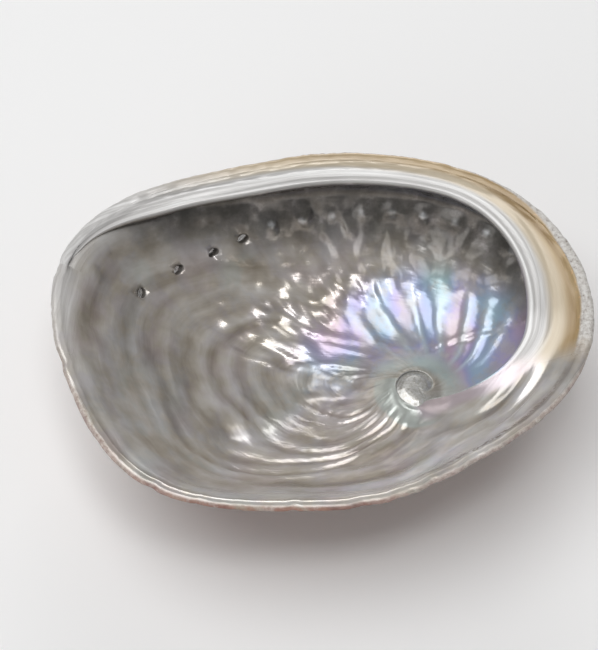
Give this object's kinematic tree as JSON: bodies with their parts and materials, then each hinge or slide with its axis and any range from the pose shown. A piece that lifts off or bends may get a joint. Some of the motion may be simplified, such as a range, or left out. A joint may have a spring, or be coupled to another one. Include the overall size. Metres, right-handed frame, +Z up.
{
  "type": "abalone shell",
  "caption": "Open ear-shaped sea shell resting on its back: deep pearly bowl, overhanging inner shelf winding into a low spire, a row of breathing pores and a crusted rim.",
  "frame": {"origin": "in the plane the shell rests on, at the worn flat under the middle of the bowl", "axes": "+X along the length towards the spire end, +Y towards the side with the shelf, +Z up out of the open bowl"},
  "size_m": [0.1362, 0.1028, 0.0389],
  "materials": {
    "shell": "glossy"
  },
  "bodies": {
    "root": {"shell": "shell"}
  },
  "joints": []
}
